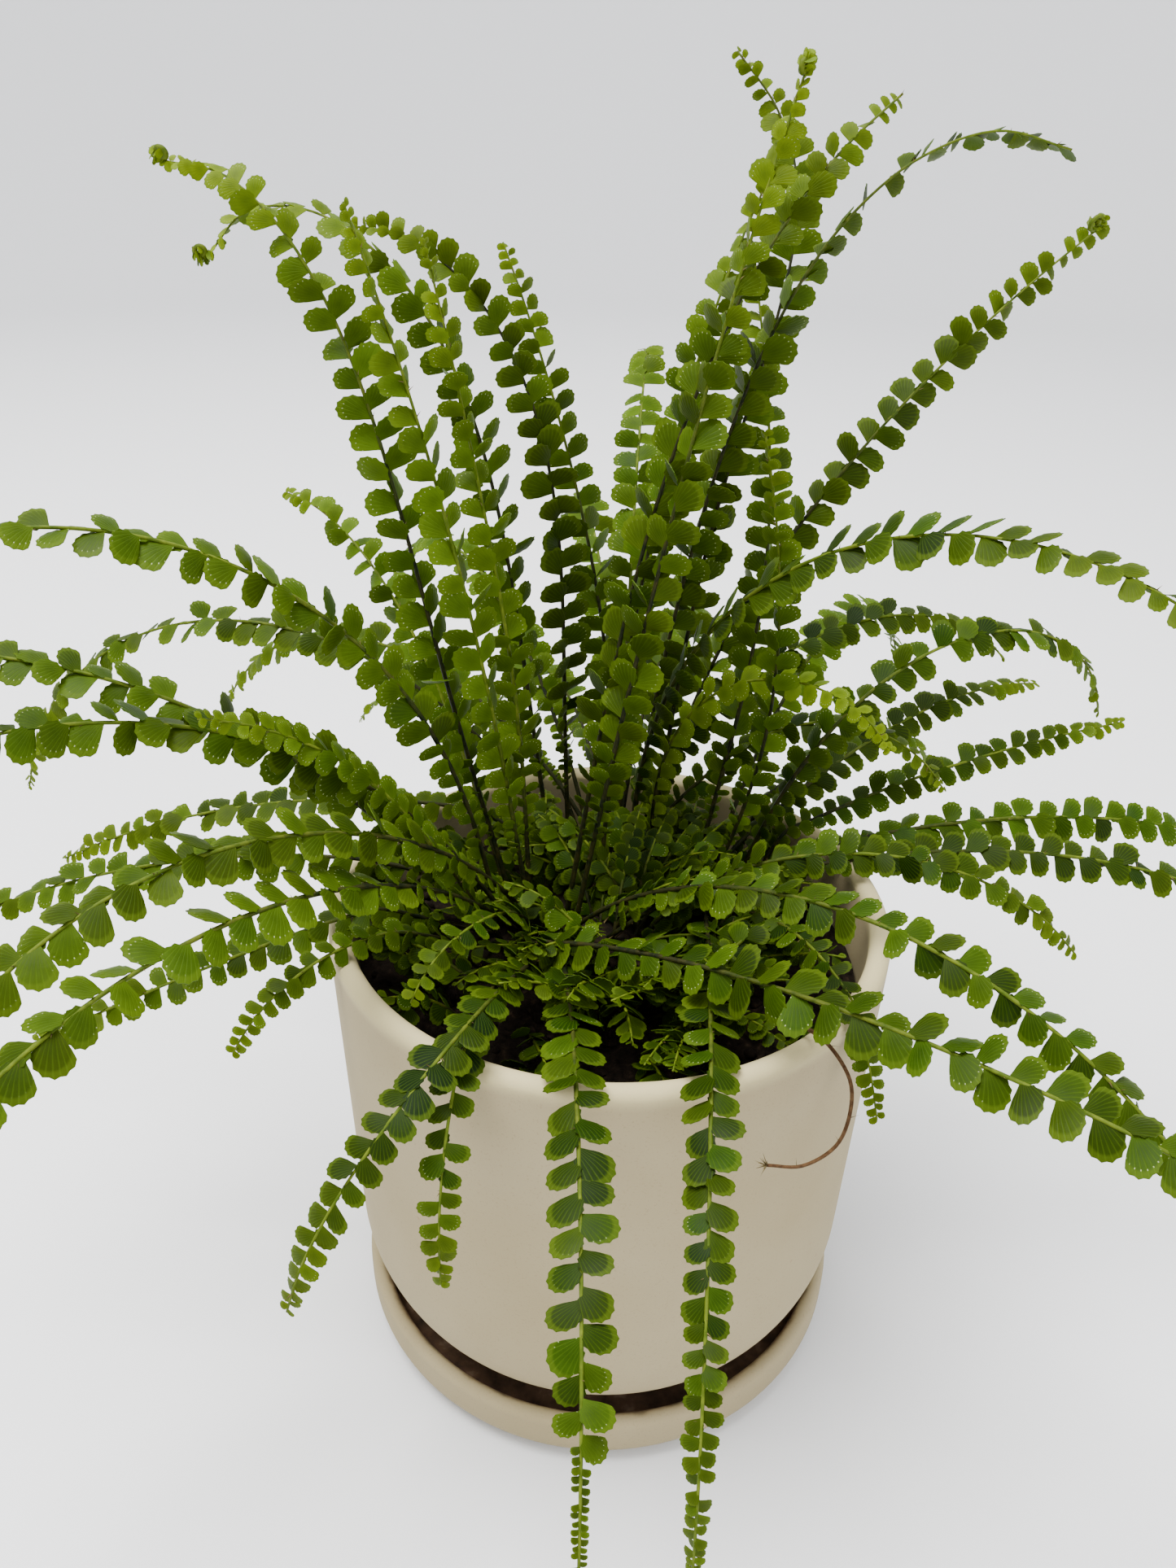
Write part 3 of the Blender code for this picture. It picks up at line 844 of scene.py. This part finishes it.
# A frond's style, here with the values of a plain one. Shares are of its length, from foot to tip.
PLAIN_FROND = {
    "size": 1.0,            # of its leaflets
    "early": 0.0,           # least size of a leaflet in the first stretch
    "late": 0.0,            # and in the last one
    "taper": 0.0,           # size lost towards the tip
    "stop": 1.0,            # share from which the leaflets stay tiny
    "bare": 0.08,           # share of the stalk without leaflets
    "spacing": 0.88,        # between leaflets, in leaflet lengths
    "lean": 14.0,           # degrees that leaflets lean towards the tip
    "loose": 1.0,           # how unevenly they tilt and droop
    "twist": 0.0,           # radians that the blade turns along the frond
    "fold": 0.0,            # radians that leaflets droop more
    "fold_from": 0.0,       # share from which they do
    "tone": 0.0,            # -1 for dark leaflets, 1 for light ones; the dark end is partly painted shade
    "youth": 0.15,          # how fresh a green, up to 1
    "young_tip": 0.5,       # youth gained towards the tip
    "green_stem": 0.25,     # share at which the dark stem turns green
    "crozier": 0.0,         # radius of a coiled tip
    "scales": 26,           # dry scales on the stem
}
EARLY_STRETCH = 0.35
LATE_STRETCH = 0.65
TINY = 0.3                      # size of the leaflets after the stop
TAPER_FROM = 0.45
YOUNG_FROM = 0.62
STAGGER = 1.2 * MM              # between the first leaflets of both sides, halved
TIP_GAP = 0.6 * MM
LEAST_STEP = 1.3 * MM
COIL_TURNS = 1.35
LOST = 0.02                     # share of leaflets that have fallen off


def grown_size(style, along, half):
    """How large the leaflets are at a share of the frond, where its blade's half width is half."""
    least = 0.0
    if along < EARLY_STRETCH:
        least = style["early"]
    elif along > LATE_STRETCH:
        least = style["late"]
    grown = max(half / BLADE_HALF, least)
    grown *= style["size"] * (1.0 if along < style["stop"] else TINY)
    return grown * (1 - style["taper"] * max(0.0, (along - TAPER_FROM) / (1 - TAPER_FROM)))


def grow_leaflets(rib, kit, style, wave, stem_radius):
    """The leaflets on both sides of a frond; wave shifts the blade's slight waviness."""
    leaflets = []
    for which, label in ((1, "right"), (-1, "left")):
        run = rib.length * style["bare"] + (2 + which) * STAGGER
        while run < rib.length - TIP_GAP:
            point, tangent, side, half = rib.at(run)
            along = run / rib.length
            grown = grown_size(style, along, half)
            twist = style["twist"] * (along - 0.4) + 0.12 * math.sin(9 * along + wave)
            face = np.cross(side, tangent)
            side = side * math.cos(twist) + face * math.sin(twist)
            scale = grown * chance.uniform(0.9, 1.08)
            scale *= 1 - 0.2 * max(0.0, 1 - along / 0.2)
            gained = max(0.0, (along - YOUNG_FROM) / (1 - YOUNG_FROM)) ** 2
            youth = style["youth"] + style["young_tip"] * gained
            fold = style["fold"] * min(1.0, max(0.0, (along - style["fold_from"]) / 0.25))
            spec = (math.radians(style["lean"] + chance.normal(0, 6)),
                    math.radians(chance.normal(6, 11) * style["loose"]),
                    math.radians(chance.normal(9, 9) * style["loose"]) + fold,
                    max(0.12, scale))
            foot = point + side * which * 0.3 * stem_radius + face * 0.15 * MM
            if chance.uniform() > LOST:
                pattern = kit[label][int(chance.integers(len(kit[label])))]
                leaflets.append(copy_of(
                    pattern, leaflet_matrix(foot, tangent, side, which, spec),
                    tone=style["tone"] + chance.normal(0, 0.3),
                    youth=float(np.clip(youth + chance.normal(0, 0.04), 0, 1))))
            run += max(LEAST_STEP, style["spacing"] * LEAFLET_LENGTH * grown)
    return leaflets


def grow_coil_leaflets(rib, kit, coil):
    """Tiny young leaflets on both sides of a coiled tip."""
    leaflets = []
    _, tangent, side, _ = rib.at(rib.length)
    for place in coil[::2]:
        for which, label in ((1, "right"), (-1, "left")):
            spec = (chance.uniform(0.3, 1.2), chance.normal(0, 0.9), 0.5,
                    chance.uniform(0.2, 0.34))
            leaflets.append(copy_of(kit[label][0],
                                    leaflet_matrix(place, tangent, side, which, spec),
                                    tone=0.6, youth=0.9))
    return leaflets


def grow_scales(rib, kit, count):
    """Dry scales round a stem, more of them near its foot."""
    scales = []
    for _ in range(count):
        run = rib.length * chance.uniform(0, 1) ** 1.3
        point, tangent, side, _ = rib.at(run)
        face = np.cross(side, tangent)
        turn_to = chance.uniform(0, 2 * math.pi)
        out = side * math.cos(turn_to) + face * math.sin(turn_to)
        lift = unit(out + tangent * chance.uniform(0.2, 1.2))
        size = [chance.uniform(0.6, 1.3)] * 3
        scales.append(copy_of(kit["scale"], scale_matrix(point + out * 0.3 * MM, lift, size)))
    return scales


def grow_frond(name, rib, kit, style):
    """One frond as one object: rachis, leaflets on both sides and scales."""
    style = {**PLAIN_FROND, **style}
    points = [rib.points[0] - rib.tangents[0] * ROOTED, *rib.points]
    share = np.concatenate([[0], rib.run / rib.length])
    size = 0.55 + 0.45 * rib.halves.max() / BLADE_HALF
    radii = size * (STEM_RADIUS + (STEM_TIP_RADIUS - STEM_RADIUS) * share ** 0.8)
    fresh = np.clip((share - style["green_stem"]) / 0.3, 0, 1)
    coil = []
    if style["crozier"]:
        coil = crozier(rib, COIL_TURNS, style["crozier"])
        points += coil
        radii = np.concatenate([radii, np.linspace(0.6 * MM, 0.95 * MM, len(coil))])
        fresh = np.concatenate([fresh, np.ones(len(coil))])
    stem = make_stem(name, points, radii, fresh, kit["stem"])
    pieces = grow_leaflets(rib, kit, style, len(name), radii[0])
    pieces += grow_coil_leaflets(rib, kit, coil)
    pieces += grow_scales(rib, kit, style["scales"])
    return join(name, pieces + [stem])


# Values below zero darken whole fronds: on the front and right groups and the darker upright fronds
# this is painted shade for fronds that lie in shadow, added to their own random variation.
FROND_STYLES = {
    "upright_1": {"crozier": 1.9 * MM, "young_tip": 0.9},
    "upright_2": {"crozier": 2.1 * MM, "young_tip": 1.0},
    "upright_3": {"tone": 0.3, "youth": 0.2, "green_stem": 0.1},
    "upright_4": {"tone": 0.2, "youth": 0.25, "green_stem": 0.1},
    "upright_5": {"tone": -0.7, "fold": -0.7, "green_stem": 0.9},
    "upright_7": {"tone": 0.4, "green_stem": 0.1},
    "upright_8": {"tone": 0.2},
    "upright_9": {"tone": -0.5, "green_stem": 0.7, "size": 1.05},
    "upright_10": {"tone": -0.6, "fold": 1.15, "fold_from": 0.55, "green_stem": 0.6, "late": 0.65,
                   "young_tip": 0.2},
    "upright_11": {"tone": -0.5, "green_stem": 0.8},
    "upright_12": {"crozier": 1.7 * MM, "young_tip": 0.8, "tone": -0.5},
    "upright_14": {"crozier": 2.8 * MM, "young_tip": 0.4, "tone": -0.7, "late": 0.5},
    "right_11": {"youth": 0.5, "tone": 0.3},
    "front_3": {"taper": 0.2, "stop": 0.77, "early": 0.85, "youth": 0.05, "tone": -0.7},
    "front_4": {"size": 0.92, "taper": 0.6, "early": 0.85, "tone": -0.75, "fold": 0.5,
                "fold_from": 0.75},
    "right_9": {"size": 0.9, "tone": -0.6, "fold": 0.5, "fold_from": 0.5},
    "right_10": {"tone": -0.6, "fold": 0.6, "fold_from": 0.6, "early": 0.95,
                 "bare": 0.02, "lean": 8.0},
}
# the front and right groups are painted darker here: painted shade
GROUP_STYLES = {
    "upright": {"loose": 1.7, "twist": 0.9, "spacing": 0.92, "green_stem": 0.5, "scales": 40},
    "right": {"loose": 1.2, "youth": 0.08, "tone": -0.75, "early": 0.55},
    "left": {"loose": 1.2, "tone": -0.4, "early": 0.55},
    "front": {"loose": 0.9, "youth": 0.05, "tone": -0.7, "spacing": 0.92, "early": 0.7},
    "back": {"loose": 1.3, "tone": -0.1},
}


def make_fronds(kit):
    names = sorted(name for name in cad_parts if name.startswith("frond_"))
    for name in names:
        middles, sides, halves = stations(name)
        rib = Rib(middles, sides, halves)
        group = name.split("_")[1]
        style = dict(GROUP_STYLES[group])
        style["tone"] = style.get("tone", 0.0) + chance.normal(0, 0.25)
        style["twist"] = style.get("twist", 0.3) * chance.normal(0, 1)
        style.update(FROND_STYLES.get(name[len("frond_"):], {}))
        frond = grow_frond("leafy_" + name, rib, kit, style)
        hand_over(frond, "fern_leaf", name)


def sprout_rib(x, y, heading, rise, tip, length, width):
    """A small frond's midrib, grown like a large one."""
    point = np.array([x, y, soil_height(x, y) - 1 * MM])
    points = [point]
    count = 8
    for index in range(count):
        slope = rise + (tip - rise) * ((index + 0.5) / count) ** 1.3
        flat = math.cos(slope)
        move = (flat * math.cos(heading), flat * math.sin(heading), math.sin(slope))
        point = point + length / count * np.array(move)
        points.append(point)
    points = np.array(points)
    across = np.array([-math.sin(heading), math.cos(heading), 0])
    along = np.linspace(0, 1, count + 1)
    halves = width * np.clip(0.4 + along * 3, 0, 1) * np.sqrt(np.clip(1.02 - along ** 3, 0, 1))
    return Rib(points, np.tile(across, (count + 1, 1)), halves, step=2.5 * MM)


COVER_GROUPS = 15
COVER_SPROUTS = 8               # in each group
SPROUT_STYLE = {"youth": 0.05, "young_tip": 0.2, "bare": 0.12, "scales": 4, "loose": 1.5,
                "green_stem": 0.3}
SPROUT_LENGTH = (30, 54)        # shortest and longest, in mm
SPROUT_LEAST = 18 * MM          # length of one that stands close to the rim
SPROUT_WIDTH = (4.2, 6.4)       # half width, in mm
SPROUT_RISE = (35, 75)          # degrees above level at the foot
SPROUT_TIP = (-25, 15)          # and at the tip
RIM_ROOM = 4 * MM               # a sprout keeps this far from the wall, apart from its tip
TIP_OVER = 10 * MM


def make_ground_cover(kit):
    """The small new fronds that hide the soil inside the rim, in groups."""
    for group in range(COVER_GROUPS):
        sprouts = []
        for number in range(COVER_SPROUTS):
            step = number + group * 0.37 + chance.uniform(0, 0.6)
            turn_to = 2 * math.pi * step / COVER_SPROUTS
            reach = SOIL_RADIUS * math.sqrt(chance.uniform(0.08, 0.78))
            x, y = reach * math.cos(turn_to), reach * math.sin(turn_to)
            if group % 3:
                # two groups out of three fill one of the two open spots
                spot = OPEN_SPOTS[group % 3 - 1]
                x, y = (place + chance.normal(0, SPOT_SPREAD) for place in spot)
                turn_to, reach = math.atan2(y, x), math.hypot(x, y)
            heading = turn_to + chance.normal(0, 0.9)
            length = chance.uniform(*SPROUT_LENGTH) * MM
            outward = math.cos(heading - turn_to)
            if outward > 0.2:
                room = (SOIL_RADIUS - RIM_ROOM - reach) / outward
                length = min(length, max(SPROUT_LEAST, room + TIP_OVER))
            rise = math.radians(chance.uniform(*SPROUT_RISE))
            tip = math.radians(chance.uniform(*SPROUT_TIP))
            width = chance.uniform(*SPROUT_WIDTH) * MM
            rib = sprout_rib(x, y, heading, rise, tip, length, width)
            style = {**SPROUT_STYLE, "tone": -0.75 + chance.normal(0, 0.2)}
            sprouts.append(grow_frond(f"sprout_{group}_{number}", rib, kit, style))
        cover = join(f"ground_cover_{group + 1}", sprouts)
        hand_over(cover, "fern_leaf")


# ---- crowns and runner ----
def make_crown(name, kit, finish):
    """A lumpy rhizome mound covered in dry scales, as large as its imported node."""
    low, high = (Vector(corner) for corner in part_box(name))
    centre = (low + high) / 2
    radius = (high.x - low.x) / 2
    height = high.z - low.z
    bpy.ops.object.select_all(action="DESELECT")
    bpy.ops.mesh.primitive_uv_sphere_add(segments=40, ring_count=20, radius=radius,
                                         location=(centre.x, centre.y, low.z))
    mound = bpy.context.object
    mound.scale = (1, 1, height / radius)
    settle_place(mound)
    edit(mound)
    bpy.ops.mesh.select_all(action="SELECT")
    bpy.ops.transform.vertex_random(offset=0.9 * MM, normal=0.5, seed=6)
    leave()
    mound.data.materials.append(finish)
    mound.data.shade_smooth()
    scales = []
    for _ in range(CROWN_SCALES):
        turn_to = chance.uniform(0, 2 * math.pi)
        out = radius * math.sqrt(chance.uniform(0, 0.95))
        rise = height * math.sqrt(max(0.0, 1 - (out / radius) ** 2))
        point = Vector((centre.x + out * math.cos(turn_to), centre.y + out * math.sin(turn_to),
                        low.z + rise * 0.9))
        lift = Vector((math.cos(turn_to) * out / radius, math.sin(turn_to) * out / radius,
                       chance.uniform(0.3, 1.0)))
        size = (2.2, 2.2, chance.uniform(2.0, 4.0))
        scales.append(copy_of(kit["scale"], scale_matrix(point, lift, size)))
    crown = join("fibrous_" + name, scales + [mound])
    hand_over(crown, "rhizome", name)


def make_runner(kit, finish):
    """The wiry runner over the rim, with a pale tuft at its end and a few root hairs."""
    route = np.array(RUNNER_ROUTE) * MM
    line, = smooth_line(route, 1.5 * MM)
    radii = np.linspace(0.65, 0.4, len(line)) * MM
    runner = make_stem("wiry_runner", line, radii, np.zeros(len(line)), finish)
    hairs = []
    for index in range(5, len(line) - 2, 4):
        lift = chance.normal(0, 1, 3)
        size = (0.7, 0.7, chance.uniform(1.2, 3.0))
        hairs.append(copy_of(kit["scale"], scale_matrix(line[index], lift, size)))
    ahead = Vector(unit(line[-1] - line[-2]))
    for _ in range(14):
        lift = ahead + Vector(chance.normal(0, 0.45, 3))
        size = (1.2, 1.2, chance.uniform(1.5, 2.6))
        hairs.append(copy_of(kit["scale"], scale_matrix(line[-1], lift, size)))
    runner = join("wiry_runner", hairs + [runner])
    hand_over(runner, "runner_stem", "runner")


# ---- stage, light and camera ----
STAGE_FLOOR = 2.4               # radius of the flat floor
STAGE_BEND = 1.0                # radius of its sweep up to the wall
STAGE_HEIGHT = 2.6
STAGE_RING = (0.4, 0)           # (radius, height) of its first ring


def make_stage():
    """A round sweep of paper: the floor bends up into a wall all round."""
    profile = [(STAGE_FLOOR, 0)]
    profile += arc((STAGE_FLOOR, STAGE_BEND), STAGE_BEND, -90, 0, 12)[1:]
    profile += [(STAGE_FLOOR + STAGE_BEND, STAGE_HEIGHT)]
    radius = STAGE_RING[0]
    bpy.ops.object.select_all(action="DESELECT")
    bpy.ops.mesh.primitive_circle_add(vertices=96, radius=radius, fill_type="TRIFAN")
    stage = bpy.context.object
    stage.name = "studio_sweep"
    edit(stage)
    pick(stage, lambda co: co.xy.length > radius * 0.5)
    draw_out(STAGE_RING, profile)
    leave()
    stage.data.shade_smooth()
    stage.data.materials.append(stage_finish())


def add_light(name, place, target, size, power, colour):
    data = bpy.data.lights.new(name, "AREA")
    data.shape = "DISK"
    data.size = size
    data.energy = power
    data.color = colour
    light = bpy.data.objects.new(name, data)
    light.location = place
    aim = Vector(target) - Vector(place)
    light.rotation_euler = aim.to_track_quat("-Z", "Y").to_euler()
    bpy.context.scene.collection.objects.link(light)


def light_room():
    world = bpy.data.worlds.new("soft_room")
    world.use_nodes = True
    sky = world.node_tree.nodes["Background"]
    sky.inputs["Color"].default_value = (0.95, 0.97, 1.0, 1)
    sky.inputs["Strength"].default_value = 1.6
    bpy.context.scene.world = world
    leaves = (0, 0, 0.12)
    add_light("window", (-0.5, 0.0, 2.0), leaves, size=1.3, power=105, colour=(1.0, 0.995, 0.98))
    add_light("fill", (1.2, -1.0, 1.0), leaves, size=0.8, power=8, colour=(1.0, 1.0, 1.0))


CAMERA_PLACE = (-0.007, -0.2805, 0.344)
CAMERA_PITCH = 60.6             # degrees between the view and straight down
CAMERA_ROLL = 1.36              # degrees
CAMERA_LENS = 27.0              # on a 36 mm frame


def place_camera():
    data = bpy.data.cameras.new("camera")
    data.sensor_width = 36
    data.lens = CAMERA_LENS
    data.clip_start = 0.01
    camera = bpy.data.objects.new("camera", data)
    camera.location = CAMERA_PLACE
    turn = Matrix.Rotation(math.radians(CAMERA_PITCH), 3, "X")
    turn @= Matrix.Rotation(math.radians(CAMERA_ROLL), 3, "Z")
    camera.rotation_euler = turn.to_euler()
    bpy.context.scene.collection.objects.link(camera)
    bpy.context.scene.camera = camera


def model_all():
    leaf = leaf_finish()
    chaff = chaff_finish()
    right = [
        model_leaflet("leaflet_round", plump=0.82, dome=0.055, droop=0.025, finish=leaf),
        model_leaflet("leaflet_broad", plump=0.92, dome=0.035, droop=0.040, finish=leaf),
        model_leaflet("leaflet_slim", plump=0.74, dome=0.070, droop=0.015, finish=leaf),
    ]
    kit = {
        "right": right,
        "left": [mirrored(pattern) for pattern in right],
        "stem": stem_finish(),
        "scale": model_scale(chaff),
    }
    make_pot()
    make_saucer()
    make_soil(soil_finish())
    fibre = wood_finish("rhizome", (0.002, 0.0015, 0.001), (0.014, 0.009, 0.004), 500.0)
    for name in ("crown_middle", "crown_right", "crown_back"):
        make_crown(name, kit, fibre)
    make_runner(kit, wood_finish("runner_stem", (0.035, 0.015, 0.006), (0.110, 0.060, 0.026), 600.0))
    make_fronds(kit)
    make_ground_cover(kit)
    for pattern in kit["right"] + kit["left"] + [kit["scale"]]:
        bpy.data.objects.remove(pattern)


place_camera()
light_room()
make_stage()
model_all()
